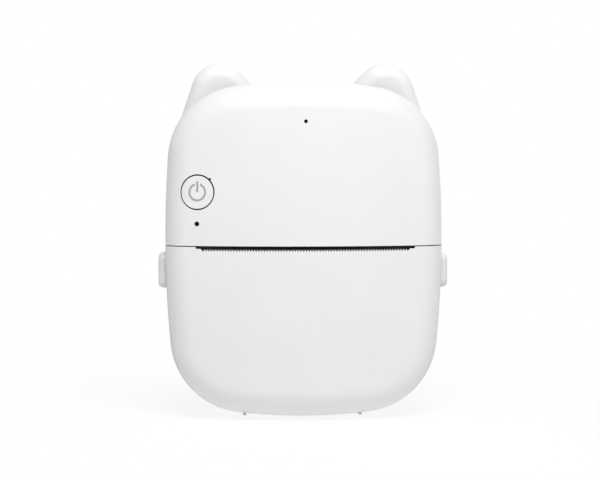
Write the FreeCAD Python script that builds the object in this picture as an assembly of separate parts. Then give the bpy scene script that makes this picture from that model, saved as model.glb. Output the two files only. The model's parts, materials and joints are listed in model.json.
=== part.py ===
import FreeCAD, Part
import math
import os

os.makedirs("parts", exist_ok=True)

# Pocket thermal printer, standing upright. Millimetres, +Z up, front towards -Y, +X to the right.
# The origin is on the floor, under the middle of the case.

# Case: pillow-shaped shell
case_width = 79.2
case_depth = 40.0
case_top = 96.5
case_bottom = 0.95
wall = 2.0
side_crown_radius = 345.0
side_crown_height = 52.0
top_crown_radius = 145.0
bottom_crown_radius = 176.0
top_corner_radius = 21.2
bottom_corner_radius = 21.8
front_crown_radius = 108.0
front_rise_radius = 260.0
front_crown_height = 48.7
front_edge_radius = 9.0
back_edge_radius = 12.0
parting_depth = 12.0
parting_groove = 0.3
groove_depth = 0.5

# Ears on the rear housing
ear_tip_offset = 23.85
ear_tip_radius = 8.3
ear_rise = 5.3
ear_thickness = 11.0
ear_setback = 4.0
ear_edge_radius = 4.2
ear_outer_slope = 71.5
ear_inner_slope = 45.0
ear_root_depth = 12.0

# Standing ribs under the rear housing
rib_spacing = 33.6
rib_width = 0.9
rib_length = 12.0
rib_setback = 20.5
rib_root = 3.2

# Seam, paper slot and saw-toothed lip
seam_height = 50.0
moving_gap = 0.3
slot_width = 62.0
slot_tab = 2.1
slot_end_height = 0.85
slot_height = 1.62
lip_thickness = 0.9
lip_depth = 2.6
tooth_pitch = 0.78
tooth_height = 0.72

# Cover hinge: a pin moulded into the cover's rolled edge, held by two snap lugs
hinge_setback = 1.0
hinge_height = 2.45
hinge_pin_diameter = 2.0
hinge_pin_overhang = 1.5
hinge_roll_radius = 2.95
hinge_roll_width = 47.0
hinge_lug_radius = 2.6
hinge_lug_width = 3.0
hinge_lug_spacing = 31.0
hinge_lug_length = 8.0
hinge_lug_mouth = 1.7

# Paper path and fits
paper_width = 57.0
paper_side_gap = 1.1
running_clearance = 0.05
fit_clearance = 0.15

# Platen roller, carried by two arms of the cover
platen_diameter = 9.0
platen_length = 57.6
platen_setback = 13.5
platen_drop = 6.4
platen_shaft_diameter = 3.0
platen_shaft_overhang = 1.0
bush_diameter = 5.0
bush_flange_diameter = 6.2
bush_flange_thickness = 0.4
arm_thickness = 1.6
arm_radius = 3.6
clip_thickness = 0.5
clip_diameter = 5.2

# Gear train on the right cheek
gear_module = 0.4
gear_addendum = 0.85
gear_dedendum = 1.2
gear_tip_share = 0.12
gear_root_share = 0.3
gear_width = 1.8
gear_gap = 0.7
platen_teeth = 22
idler_teeth = 34
pinion_teeth = 12
pinion_direction = 60.0
idler_post_diameter = 3.0
idler_collar_diameter = 5.0
gear_cover_thickness = 0.8
gear_cover_gap = 0.4
gear_post_diameter = 3.4
gear_post_directions = (-45.0, -82.0)
gear_strap_width = 4.4

# Print head, hung from the cheeks by two trunnions
head_gap = 0.15
ceramic_thickness = 1.0
ceramic_height = 12.0
ceramic_length = 57.0
head_plate_thickness = 1.8
head_plate_height = 19.5
head_plate_length = 58.0
head_plate_drop = 7.1
trunnion_diameter = 2.4
trunnion_length = 1.7
trunnion_drop = 1.5
head_spring_diameter = 4.0
head_spring_wire = 0.5
head_spring_length = 4.0
head_spring_spacing = 20.0
head_spring_turns = 4
head_cable_width = 16.0
head_cable_thickness = 0.3
head_cable_plug = 2.5

# Chassis
cheek_thickness = 1.4
cheek_rise = 10.0
cheek_notch_height = 9.2
bay_ceiling_drop = 6.4
bay_ceiling_thickness = 1.4
spring_wall_thickness = 1.2
spring_wall_rise = 6.0
lower_cheek_drop = 7.6
chassis_lug_places = (-20.0, 8.0)
chassis_lug_width = 8.0
chassis_lug_thickness = 1.6
chassis_boss_height = 2.4
chassis_boss_diameter = 5.0

# Motor
motor_diameter = 13.0
motor_length = 14.0
motor_boss_diameter = 5.0
motor_shaft_diameter = 1.5
motor_screw_spacing = 10.6
motor_screw_depth = 1.5
motor_gap = 2.6

# Release buttons and latch
release_width = 12.0
release_height = 10.0
release_drop = 2.6
release_setback = 3.0
release_proud = 2.0
release_edge_radius = 1.4
release_corner_radius = 2.2
release_flange = 1.0
release_flange_thickness = 0.8
release_flange_gap = 0.6
release_clearance = 0.25
release_spring_diameter = 4.0
release_spring_wire = 0.45
release_spring_turns = 5
release_pocket_depth = 3.8
release_pocket_gap = 0.3
release_seat_rim = 1.0
latch_setback = 3.5
latch_reach = 2.7
latch_overlap = 0.6
latch_gap = 0.2
latch_side_gap = 0.5
latch_tooth = 0.6
latch_hook = 0.7
latch_bar = 1.0
latch_shoulder = 0.4
latch_height = 3.0
latch_drop = 0.8
tongue_root = 5.0

# Power button, status light and reset pinhole
power_button_inset = 8.95
power_button_rise = 15.1
power_button_diameter = 9.3
power_button_gap = 0.4
power_button_notch = 0.8
power_button_notch_angle = 46.0
power_button_thickness = 2.6
power_button_flange = 0.8
power_button_flange_thickness = 0.8
power_button_stem_diameter = 3.0
power_button_travel = 0.6
lens_rise = 6.2
lens_diameter = 1.38
lens_length = 4.0
pinhole_drop = 11.5
pinhole_diameter = 1.1

# Main board and what stands on it; chips are (x, height above the board's low edge, width, height, thickness)
board_setback = 15.0
board_thickness = 1.2
board_side_gap = 1.6
board_low_gap = 0.5
board_top_gap = 5.5
board_corner = 10.0
board_tab_width = 12.0
board_tab_margin = 3.2
board_chip_sizes = ((-4.0, 11.5, 8.0, 8.0, 0.9), (12.0, 8.5, 6.0, 5.0, 1.4), (-14.0, 19.5, 5.0, 6.0, 1.2),
                    (19.0, 20.5, 3.6, 4.0, 2.0), (10.5, 20.5, 9.0, 7.0, 1.6))
switch_size = 5.0
switch_height = 3.2
switch_plunger_diameter = 2.6
switch_plunger_height = 1.2
led_width = 1.6
led_breadth = 0.8
led_height = 0.7
cable_socket_rim = 2.0
cable_socket_rise = 1.5
lead_socket_offset = 16.0
lead_socket_width = 6.0
lead_socket_depth = 4.0
lead_socket_height = 4.5
lead_socket_rise = 1.5
usb_width = 8.94
usb_thickness = 3.2
usb_length = 7.6
usb_shell = 0.3
usb_floor = 1.0
usb_tongue_width = 6.7
usb_tongue_thickness = 0.7
usb_tongue_recess = 0.8
usb_rise = 3.5
usb_opening_gap = 0.35
usb_recess = 0.6

# Battery, its pad and the leads
battery_width = 40.0
battery_top_gap = 12.0
battery_thickness = 7.0
battery_low_gap = 0.5
battery_edge = 2.2
battery_pad_thickness = 1.0
battery_tap_height = 10.0
lead_diameter = 1.4
lead_bend_share = 0.45
lead_loop = 5.0

# Screws
screw_diameter = 2.0
screw_head_diameter = 3.8
screw_head_height = 1.5
screw_hole_clearance = 0.15
screw_well_clearance = 0.3
drive_slot_width = 0.5
drive_slot_depth = 0.3
case_screw_gap = 0.4
case_screw_rise = 11.8
case_screw_seat = 19.0
case_screw_length = 11.0
case_boss_diameter = 6.4
front_boss_diameter = 5.0
small_screw_diameter = 1.6
small_screw_head_diameter = 3.0
small_screw_head_height = 0.9
flat_screw_head_height = 0.45

# Paper guide behind the slot
guide_blade_thickness = 0.8
guide_drop = 1.25
guide_rise = 2.4
guide_setback = 7.1
guide_foot_depth = 4.4
guide_bracket_width = 5.0
guide_bracket_spacing = 44.0
guide_bracket_height = 2.2
guide_screw_tip_gap = 0.4

# Places worked out from the sizes above
front = -case_depth / 2
back = case_depth / 2
side = case_width / 2
far = case_width + case_depth
through = 4 * wall
parting = front + parting_depth
back_inner = back - wall
side_inner = side - wall
cover_top = seam_height - moving_gap
platen_height = seam_height - platen_drop
bay_ceiling = platen_height - bay_ceiling_drop
lower_cheek_top = platen_height - lower_cheek_drop
cheek_top = seam_height + cheek_rise
release_top = seam_height - release_drop
guide_bottom = seam_height - guide_drop
guide_top = seam_height + guide_rise
lens_z = seam_height + lens_rise
power_button_z = seam_height + power_button_rise
pinhole_z = case_top - pinhole_drop
hinge_y = parting + hinge_setback
hinge_z = case_bottom + hinge_height
bay_side = paper_width / 2 + paper_side_gap
cheek_side = bay_side + cheek_thickness
platen_y = front + platen_setback
head_front = platen_y + platen_diameter / 2 + head_gap
plate_front = head_front + ceramic_thickness
plate_back = plate_front + head_plate_thickness
gear_start = bay_side + arm_thickness + gear_gap
gear_end = gear_start + gear_width
gear_cover_x = gear_end + gear_cover_gap
board_front = front + board_setback
board_back = board_front + board_thickness
board_low = cheek_top + board_low_gap
board_high = case_top - board_top_gap
board_edge = side_inner - board_side_gap
usb_z = board_low + usb_rise
case_screw_x = battery_width / 2 + case_screw_gap + case_boss_diameter / 2
case_screw_low = power_button_z + (switch_size + front_boss_diameter) / 2 + board_low_gap
case_screw_places = [(x, z) for x in (-case_screw_x, case_screw_x)
                     for z in (case_screw_low, case_screw_low + case_screw_rise)]


def vec(x, y, z):
    return FreeCAD.Vector(x, y, z)


def box(x0, x1, y0, y1, z0, z1):
    return Part.makeBox(x1 - x0, y1 - y0, z1 - z0, vec(x0, y0, z0))


def rod_x(diameter, x0, x1, y, z):
    return Part.makeCylinder(diameter / 2, x1 - x0, vec(x0, y, z), vec(1, 0, 0))


def rod_y(diameter, y0, y1, x, z):
    return Part.makeCylinder(diameter / 2, y1 - y0, vec(x, y0, z), vec(0, 1, 0))


def rod_z(diameter, z0, z1, x, y):
    return Part.makeCylinder(diameter / 2, z1 - z0, vec(x, y, z0), vec(0, 0, 1))


def prism_x(points, x0, x1):
    """A flat shape in the side plane, given as (y, z) corners, made thick along X."""
    corners = [vec(x0, y, z) for y, z in points]
    face = Part.Face(Part.makePolygon(corners + corners[:1]))
    return face.extrude(vec(x1 - x0, 0, 0))


def prism_y(points, y0, y1):
    """A flat shape in the front plane, given as (x, z) corners, made thick along Y."""
    corners = [vec(x, y0, z) for x, z in points]
    face = Part.Face(Part.makePolygon(corners + corners[:1]))
    return face.extrude(vec(0, y1 - y0, 0))


def mirrored(shape):
    return shape.mirror(vec(0, 0, 0), vec(1, 0, 0))


def both_sides(shape):
    return Part.Compound([shape, mirrored(shape)])


def joined(shapes):
    whole = shapes[0]
    if len(shapes) > 1:
        whole = whole.multiFuse(shapes[1:])
    return whole.removeSplitter()


def circles_meet(first, first_radius, second, second_radius, choose):
    """Where two circles in the front plane cross; choose picks the upper or the lower point."""
    span = second - first
    reach = span.Length
    along = (first_radius**2 - second_radius**2 + reach**2) / (2 * reach)
    across = math.sqrt(first_radius**2 - along**2)
    unit = span * (1 / reach)
    normal = vec(-unit.z, 0, unit.x)
    points = [first + unit * along + normal * across, first + unit * along - normal * across]
    return choose(points, key=lambda point: point.z)


def toward(centre, target, distance):
    direction = target - centre
    return centre + direction * (distance / direction.Length)


def arc(start, middle, end):
    return Part.Arc(start, middle, end).toShape()


def line(start, end):
    return Part.LineSegment(start, end).toShape()


def flipped(point):
    return vec(-point.x, point.y, point.z)


def case_outline(inset):
    """Front outline of the case: eight tangent arcs, drawn inset from the outer surface."""
    side_centre = vec(side - side_crown_radius, 0, side_crown_height)
    top_centre = vec(0, 0, case_top - top_crown_radius)
    bottom_centre = vec(0, 0, case_bottom + bottom_crown_radius)
    high = circles_meet(
        side_centre, side_crown_radius - top_corner_radius,
        top_centre, top_crown_radius - top_corner_radius, max)
    low = circles_meet(
        side_centre, side_crown_radius - bottom_corner_radius,
        bottom_centre, bottom_crown_radius - bottom_corner_radius, min)
    side_high = toward(side_centre, high, side_crown_radius - inset)
    side_low = toward(side_centre, low, side_crown_radius - inset)
    top_end = toward(top_centre, high, top_crown_radius - inset)
    bottom_end = toward(bottom_centre, low, bottom_crown_radius - inset)
    high_middle = toward(high, (side_high + top_end) * 0.5, top_corner_radius - inset)
    low_middle = toward(low, (side_low + bottom_end) * 0.5, bottom_corner_radius - inset)
    widest = vec(side - inset, 0, side_crown_height)
    right = [
        arc(bottom_end, low_middle, side_low),
        arc(side_low, widest, side_high),
        arc(side_high, high_middle, top_end),
    ]
    left = [
        arc(flipped(top_end), flipped(high_middle), flipped(side_high)),
        arc(flipped(side_high), flipped(widest), flipped(side_low)),
        arc(flipped(side_low), flipped(low_middle), flipped(bottom_end)),
    ]
    top = arc(top_end, vec(0, 0, case_top - inset), flipped(top_end))
    bottom = arc(flipped(bottom_end), vec(0, 0, case_bottom + inset), bottom_end)
    return Part.Wire([bottom] + right + [top] + left)


def front_crown(inset):
    """Solid behind the crowned front: an arc across the case, swung up and down about a far X axis."""
    half = side + wall
    radius = front_crown_radius - inset
    centre = vec(0, front + front_crown_radius, front_crown_height)
    rise = math.sqrt(radius**2 - half**2)
    right = centre + vec(half, -rise, 0)
    left = centre + vec(-half, -rise, 0)
    deep = back + wall
    corners = [right, vec(half, deep, front_crown_height), vec(-half, deep, front_crown_height), left]
    edges = [arc(left, centre + vec(0, -radius, 0), right)]
    edges += [line(start, end) for start, end in zip(corners, corners[1:])]
    profile = Part.Face(Part.Wire(edges))
    axis_point = vec(0, front + front_rise_radius, front_crown_height)
    swing = math.degrees(case_top / front_rise_radius)
    profile.rotate(axis_point, vec(1, 0, 0), -swing)
    return profile.revolve(axis_point, vec(1, 0, 0), 2 * swing)


def pebble(inset):
    """The case as a solid: outline pulled along Y, crowned in front, with rounded rims."""
    start = front - wall
    outline = case_outline(inset)
    outline.translate(vec(0, start, 0))
    block = Part.Face(outline).extrude(vec(0, back - inset - start, 0))
    body = block.common(front_crown(inset))
    crown = [face for face in body.Faces if isinstance(face.Surface, Part.Toroid)]
    body = body.makeFillet(front_edge_radius - inset, crown[0].Edges)
    flat = max(body.Faces, key=lambda face: face.BoundBox.YMin)
    return body.makeFillet(back_edge_radius - inset, flat.Edges)


def ear(inset):
    """Right ear: a rounded triangle with soft rims, its root inside the case."""
    centre = vec(ear_tip_offset, 0, case_top + ear_rise - ear_tip_radius)
    radius = ear_tip_radius - inset
    outer_angle = math.radians(90 - ear_outer_slope)
    inner_angle = math.radians(90 + ear_inner_slope)
    outer_point = centre + vec(math.cos(outer_angle), 0, math.sin(outer_angle)) * radius
    inner_point = centre + vec(math.cos(inner_angle), 0, math.sin(inner_angle)) * radius
    tip = centre + vec(0, 0, radius)
    floor = case_top - ear_root_depth
    outer_run = (outer_point.z - floor) / math.tan(math.radians(ear_outer_slope))
    inner_run = (inner_point.z - floor) / math.tan(math.radians(ear_inner_slope))
    outer_foot = vec(outer_point.x + outer_run, 0, floor)
    inner_foot = vec(inner_point.x - inner_run, 0, floor)
    root = line(inner_foot, outer_foot)
    wire = Part.Wire([root, line(outer_foot, outer_point), arc(outer_point, tip, inner_point),
                      line(inner_point, inner_foot)])
    wire.translate(vec(0, parting + ear_setback + inset, 0))
    solid = Part.Face(wire).extrude(vec(0, ear_thickness - 2 * inset, 0))
    ends = (min(solid.Faces, key=lambda face: face.BoundBox.YMax),
            max(solid.Faces, key=lambda face: face.BoundBox.YMin))
    rims = [edge for face in ends for edge in face.Edges if edge.BoundBox.ZMax > floor + ear_edge_radius]
    return solid.makeFillet(ear_edge_radius - inset, rims)


def stadium_x(width_z, width_y, x0, x1, y, z):
    """A slot shape seen from the side: two half circles joined by straights, long along Z."""
    half = (width_z - width_y) / 2
    middle = box(x0, x1, y - width_y / 2, y + width_y / 2, z - half, z + half)
    ends = [rod_x(width_y, x0, x1, y, z + half), rod_x(width_y, x0, x1, y, z - half)]
    return joined([middle] + ends)


def strap(first, second, width, x0, x1):
    """Flat link in the side plane with round ends on two (y, z) points."""
    reach_y = second[0] - first[0]
    reach_z = second[1] - first[1]
    length = math.hypot(reach_y, reach_z)
    shift_y = -reach_z / length * width / 2
    shift_z = reach_y / length * width / 2
    corners = [(first[0] + shift_y, first[1] + shift_z), (first[0] - shift_y, first[1] - shift_z),
               (second[0] - shift_y, second[1] - shift_z), (second[0] + shift_y, second[1] + shift_z)]
    ends = [rod_x(width, x0, x1, y, z) for y, z in (first, second)]
    return joined([prism_x(corners, x0, x1)] + ends)


def gear(teeth, bore, phase, y, z):
    """Spur gear on an X axis; phase is the angle of one tooth from +Y towards +Z, in radians."""
    pitch_radius = gear_module * teeth / 2
    tip = pitch_radius + gear_addendum * gear_module
    root = pitch_radius - gear_dedendum * gear_module
    step = 2 * math.pi / teeth
    flank = ((root, -gear_root_share), (tip, -gear_tip_share), (tip, gear_tip_share), (root, gear_root_share))
    corners = []
    for index in range(teeth):
        for radius, share in flank:
            angle = phase + (index + share) * step
            corners.append((y + radius * math.cos(angle), z + radius * math.sin(angle)))
    return prism_x(corners, gear_start, gear_end).cut(rod_x(bore, gear_start, gear_end, y, z))


def mesh_phase(own_teeth, other_teeth, other_phase, direction):
    """Tooth angle for a gear whose gap meets the other gear's tooth; direction runs other to own."""
    step = 2 * math.pi / other_teeth
    offset = (other_phase - direction) % step
    return direction + math.pi - offset * other_teeth / own_teeth + math.pi / own_teeth


def coil(diameter, wire, length, turns):
    """Round-wire spring on +Z from the origin, wound in tilted half circles, its ends cut flat."""
    radius = (diameter - wire) / 2
    pitch = length / turns
    bulge = math.hypot(radius, pitch / 4)
    edges = []
    for index in range(2 * turns + 2):
        way = 1 if index % 2 == 0 else -1
        low = (index - 1) * pitch / 2
        edges.append(arc(vec(way * radius, 0, low), vec(0, way * bulge, low + pitch / 4),
                         vec(-way * radius, 0, low + pitch / 2)))
    section = Part.Wire(Part.makeCircle(wire / 2, vec(radius, 0, -pitch / 2), vec(0, 1, 0)))
    tube = Part.Wire(edges).makePipeShell([section], True, False)
    return tube.common(Part.makeCylinder(diameter, length))


def along_axis(shape, start, direction):
    """Turn a shape made on +Z from the origin to start at a point and run along a direction."""
    turned = shape.copy()
    turned.Placement = FreeCAD.Placement(start, FreeCAD.Rotation(vec(0, 0, 1), direction))
    return turned


def lead(points):
    """Round wire along straight runs joined by tangent arcs."""
    edges = []
    last = points[0]
    for before, corner, after in zip(points, points[1:], points[2:]):
        inward = (before - corner).normalize()
        outward = (after - corner).normalize()
        cut = lead_bend_share * min((before - corner).Length, (after - corner).Length)
        start = corner + inward * cut
        end = corner + outward * cut
        half = inward.getAngle(outward) / 2
        radius = cut * math.tan(half)
        centre = toward(corner, corner + inward + outward, cut / math.cos(half))
        edges += [line(last, start), arc(start, toward(centre, corner, radius), end)]
        last = end
    edges.append(line(last, points[-1]))
    section = Part.Wire(Part.makeCircle(lead_diameter / 2, points[0], points[1] - points[0]))
    return Part.Wire(edges).makePipeShell([section], True, False)


def screw_y(x, z, seat, length, direction):
    """Cross-slotted screw along Y; direction is the way it is driven, +1 or -1."""
    shank = Part.makeCylinder(screw_diameter / 2, length, vec(x, seat, z), vec(0, direction, 0))
    head = Part.makeCylinder(screw_head_diameter / 2, screw_head_height, vec(x, seat, z),
                             vec(0, -direction, 0))
    top = seat - direction * screw_head_height
    drive = box(x - screw_head_diameter / 2, x + screw_head_diameter / 2, top - drive_slot_depth,
                top + drive_slot_depth, z - drive_slot_width / 2, z + drive_slot_width / 2)
    turned = drive.copy()
    turned.rotate(vec(x, seat, z), vec(0, 1, 0), 90)
    return joined([shank, head]).cut(joined([drive, turned]))


def small_screw_x(seat, tip, y, z):
    """Flat-headed screw driven along -X."""
    shank = rod_x(small_screw_diameter, tip, seat, y, z)
    return joined([shank, rod_x(small_screw_head_diameter, seat, seat + flat_screw_head_height, y, z)])


# The case as nested solids: outer skin, half-way skin that inner features end in, and cavity
outer = pebble(0)
backing = pebble(wall / 2)
inner = pebble(wall)
inside = pebble(wall + fit_clearance)
shell = outer.cut(inner)
groove = outer.cut(pebble(groove_depth)).common(
    box(-far, far, parting - parting_groove / 2, parting + parting_groove / 2, -far, far))

# Release buttons: cap, flange, spring pocket and latch hook, mirrored for the left side
release_y0 = parting + release_setback
release_y1 = release_y0 + release_width
release_z0 = release_top - release_height
flange_out = side_inner - release_flange_gap
flange_in = flange_out - release_flange_thickness
spring_seat = ((release_y0 + release_y1) / 2, (release_z0 + release_top) / 2)
spring_outer_end = flange_in + release_pocket_depth
spring_inner_end = gear_cover_x + gear_cover_thickness
hook_top = release_z0 - release_flange + latch_bar
hook_front = release_y0 + latch_setback
hook_back = hook_front + latch_hook
hook_inner = flange_in - latch_reach
hook_outer = hook_inner + latch_bar
tongue_top = release_z0 - release_flange - latch_drop
tongue_low = tongue_top - latch_height


def release_block(grow, x0, x1):
    block = box(x0, x1, release_y0 - grow, release_y1 + grow, release_z0 - grow, release_top + grow)
    edges = [edge for edge in block.Edges if edge.BoundBox.XLength > (x1 - x0) / 2]
    return block.makeFillet(release_corner_radius + grow, edges)


cap = release_block(0, flange_in, side + release_proud)
cap_end = max(cap.Faces, key=lambda face: face.BoundBox.XMin)
cap = cap.makeFillet(release_edge_radius, cap_end.Edges)
flange = release_block(release_flange, flange_in, flange_out)
hook_block = box(hook_inner, flange_out, hook_front, hook_back + latch_shoulder,
                 hook_top - latch_bar, hook_top + latch_shoulder)
hook_plate = box(hook_inner, hook_outer, hook_front, hook_back, tongue_low, hook_top)
spring_pocket = rod_x(
    release_spring_diameter + 2 * release_pocket_gap, flange_in, spring_outer_end, *spring_seat)
right_release_button = joined([cap, flange, hook_block, hook_plate]).cut(spring_pocket)
release_window = release_block(release_clearance, side_inner - wall, far)
release_coil = coil(
    release_spring_diameter, release_spring_wire, spring_outer_end - spring_inner_end,
    release_spring_turns)
right_release_spring = along_axis(release_coil, vec(spring_inner_end, *spring_seat), vec(1, 0, 0))
left_release_spring = along_axis(release_coil, vec(-spring_inner_end, *spring_seat), vec(-1, 0, 0))

# Rear housing: half shell with hollow ears, snap lugs, screw posts and standing ribs
right_ear = ear(0)
ear_hollow = ear(wall)
rear_zone = box(-far, far, parting, far, -far, far)
eared = joined([outer, right_ear, mirrored(right_ear)]).common(rear_zone)
rear_housing = eared.cut(joined([inner, ear_hollow, mirrored(ear_hollow)])).cut(groove)
roll_room = rod_x(
    2 * (hinge_roll_radius + moving_gap), -hinge_roll_width / 2 - moving_gap,
    hinge_roll_width / 2 + moving_gap, hinge_y, hinge_z)
lug_start = (hinge_lug_spacing - hinge_lug_width) / 2
lug_end = lug_start + hinge_lug_width
lug = joined([
    rod_x(2 * hinge_lug_radius, lug_start, lug_end, hinge_y, hinge_z),
    box(lug_start, lug_end, hinge_y, hinge_y + hinge_lug_length, case_bottom + wall / 2,
        hinge_z + hinge_lug_radius),
]).common(outer)
lug_bore = rod_x(hinge_pin_diameter + 2 * running_clearance, lug_start, lug_end, hinge_y, hinge_z)
lug_mouth = box(lug_start, lug_end, hinge_y - 2 * hinge_lug_radius, hinge_y,
                hinge_z - hinge_lug_mouth / 2, hinge_z + hinge_lug_mouth / 2)
lug = lug.cut(joined([lug_bore, lug_mouth]))
rib_y = front + rib_setback
rib = box(
    (rib_spacing - rib_width) / 2, (rib_spacing + rib_width) / 2, rib_y, rib_y + rib_length, 0, rib_root)
case_posts = [rod_y(case_boss_diameter, board_back, back, x, z).common(backing) for x, z in case_screw_places]
lug_back = back_inner - chassis_boss_height
ceiling_top = bay_ceiling + bay_ceiling_thickness
chassis_lug_z = ceiling_top + chassis_lug_width / 2
chassis_posts = [rod_y(chassis_boss_diameter, lug_back, back - wall / 2, x, chassis_lug_z)
                 for x in chassis_lug_places]
chassis_bores = [rod_y(screw_diameter, lug_back, back - wall / 2, x, chassis_lug_z)
                 for x in chassis_lug_places]
usb_y = board_back + usb_thickness / 2
usb_mouth = stadium_x(
    usb_width + 2 * usb_opening_gap, usb_thickness + 2 * usb_opening_gap, side_inner - wall, far,
    usb_y, usb_z)
case_seat = back - case_screw_seat
wells = []
for x, z in case_screw_places:
    wells.append(rod_y(screw_head_diameter + 2 * screw_well_clearance, case_seat, far, x, z))
    wells.append(rod_y(screw_diameter + 2 * screw_hole_clearance, front, far, x, z))
rear_housing = joined(
    [rear_housing.cut(roll_room), lug, mirrored(lug), rib, mirrored(rib)] + case_posts + chassis_posts)
rear_housing = rear_housing.cut(Part.Compound(wells + chassis_bores + [usb_mouth]))
rear_housing = rear_housing.cut(both_sides(release_window))

# Upper front shell with its bosses, guide brackets and the holes for button, light and pin
power_button_x = power_button_inset - side
turn = math.asin(power_button_x / front_crown_radius)
press = vec(-math.sin(turn), math.cos(turn), 0)
skin_y = front + front_crown_radius * (1 - math.cos(turn))


def on_press_axis(diameter, start, length, z, shift=0):
    """Rod along the button's own axis; start is measured inward from the case surface, shift across it."""
    across = vec(press.y, -press.x, 0)
    base = vec(power_button_x, skin_y, z) + press * start + across * shift
    return Part.makeCylinder(diameter / 2, length, base, press)


upper_zone = box(-far, far, -far, parting, seam_height, far)
front_posts = [rod_y(front_boss_diameter, front, board_front, x, z).common(backing)
               for x, z in case_screw_places]
guide_y = front + guide_setback
bracket_start = (guide_bracket_spacing - guide_bracket_width) / 2
bracket = box(
    bracket_start, bracket_start + guide_bracket_width, front, guide_y + guide_foot_depth,
    guide_top, guide_top + guide_bracket_height).common(backing)
upper_front = joined(
    [shell.common(upper_zone).cut(groove)] + front_posts + [bracket, mirrored(bracket)])
button_hole = on_press_axis(power_button_diameter + 2 * power_button_gap, -wall, through, power_button_z)
notch_reach = power_button_diameter / 2 + power_button_gap
notch_angle = math.radians(power_button_notch_angle)
button_notch = on_press_axis(
    power_button_notch, -wall, through, power_button_z + notch_reach * math.sin(notch_angle),
    notch_reach * math.cos(notch_angle))
flange_room = on_press_axis(
    power_button_diameter + 2 * (power_button_flange + power_button_gap), wall, wall, power_button_z)
lens_hole = on_press_axis(lens_diameter, -wall, through, lens_z)
pinhole = rod_y(pinhole_diameter, front, front + through, 0, pinhole_z)
screw_bores = [rod_y(screw_diameter, case_seat - case_screw_length, board_front, x, z)
               for x, z in case_screw_places]
guide_screw_places = (-guide_bracket_spacing / 2, guide_bracket_spacing / 2)
guide_screw_y = guide_y + guide_blade_thickness + small_screw_head_diameter / 2 + fit_clearance
guide_screw_tip = guide_top + guide_bracket_height - guide_screw_tip_gap
guide_bores = [rod_z(small_screw_diameter, guide_top, guide_screw_tip, x, guide_screw_y)
               for x in guide_screw_places]
upper_front = upper_front.cut(joined([button_hole, button_notch, flange_room])).cut(
    Part.Compound([lens_hole, pinhole] + screw_bores + guide_bores))

# Paper cover: lower front shell with the rolled hinge edge, saw-toothed lip, arms and latch tongues
cover_zone = box(-far, far, -far, parting - moving_gap, -far, cover_top)
roll = rod_x(2 * hinge_roll_radius, -hinge_roll_width / 2, hinge_roll_width / 2, hinge_y, hinge_z)
arm = joined([
    box(bay_side, bay_side + arm_thickness, front, platen_y, platen_height - arm_radius,
        platen_height + arm_radius),
    rod_x(2 * arm_radius, bay_side, bay_side + arm_thickness, platen_y, platen_height),
]).common(backing)
tongue_inner = hook_outer + latch_side_gap
tooth_front = hook_back + latch_gap
tooth_back = tooth_front + latch_tooth
tongue = joined([
    box(tongue_inner, tongue_inner + latch_bar, parting - tongue_root, tooth_back, tongue_low, tongue_top),
    box(tongue_inner, far, parting - tongue_root, parting - moving_gap, tongue_low, tongue_top),
    box(hook_outer - latch_overlap, tongue_inner + latch_bar, tooth_front, tooth_back,
        tongue_low, tongue_top),
]).common(backing)
paper_cover = joined([shell.common(cover_zone), roll.common(outer), arm, mirrored(arm),
                      tongue, mirrored(tongue)])
lug_room = rod_x(
    2 * (hinge_roll_radius + moving_gap), lug_start - moving_gap, lug_end + moving_gap, hinge_y, hinge_z)
hinge_pin = rod_x(hinge_pin_diameter, -lug_end - hinge_pin_overhang, lug_end + hinge_pin_overhang,
                  hinge_y, hinge_z)
bush_bore = rod_x(bush_diameter, bay_side, bay_side + arm_thickness, platen_y, platen_height)
tooth_count = int((slot_width - 2 * slot_tab) / tooth_pitch)
toothed_half = tooth_count * tooth_pitch / 2
slot_low = seam_height - slot_height
slot_end = seam_height - slot_end_height
slant = slot_end - slot_low
saw = [(-slot_width / 2, far), (-slot_width / 2, slot_end), (-toothed_half - slant, slot_end)]
for index in range(tooth_count):
    start = -toothed_half + index * tooth_pitch
    saw += [(start, slot_low), (start + tooth_pitch / 2, slot_low + tooth_height)]
saw += [(toothed_half, slot_low), (toothed_half + slant, slot_end), (slot_width / 2, slot_end),
        (slot_width / 2, far)]
slot_cut = prism_y(saw, front - wall, platen_y)
lip_half = min(bay_side, slot_width / 2)
lip_back = pebble(lip_thickness).common(
    box(-lip_half, lip_half, front, platen_y, slot_low - lip_depth, far))
paper_cover = paper_cover.cut(slot_cut).cut(lip_back)
paper_cover = paper_cover.cut(both_sides(lug_room)).cut(hinge_pin).cut(both_sides(bush_bore))

# Paper guide: black strip screwed under two brackets of the upper front
guide_half = slot_width / 2
guide_seat = guide_top - guide_blade_thickness
paper_guide = joined([
    box(-guide_half, guide_half, guide_y, guide_y + guide_blade_thickness, guide_bottom, guide_top),
    box(-guide_half, guide_half, guide_y, guide_y + guide_foot_depth, guide_seat, guide_top),
]).cut(Part.Compound([
    rod_z(small_screw_diameter + 2 * screw_hole_clearance, guide_seat, guide_top, x, guide_screw_y)
    for x in guide_screw_places]))
guide_screws = [joined([
    rod_z(small_screw_diameter, guide_seat, guide_screw_tip, x, guide_screw_y),
    rod_z(small_screw_head_diameter, guide_seat - small_screw_head_height, guide_seat, x, guide_screw_y),
]) for x in guide_screw_places]

# Power button with its flange and stem, and the light guide
stem_reach = (board_front - switch_height - switch_plunger_height - skin_y) / math.cos(turn)
stem_length = stem_reach - wall - power_button_travel - fit_clearance
power_button = joined([
    on_press_axis(power_button_diameter, -wall, wall + power_button_thickness, power_button_z).common(outer),
    on_press_axis(power_button_diameter + 2 * power_button_flange, wall + fit_clearance,
                  power_button_flange_thickness, power_button_z),
    on_press_axis(power_button_stem_diameter, wall, stem_length, power_button_z),
])
indicator_lens = on_press_axis(lens_diameter, -wall, wall + lens_length, lens_z).common(outer)

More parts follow.
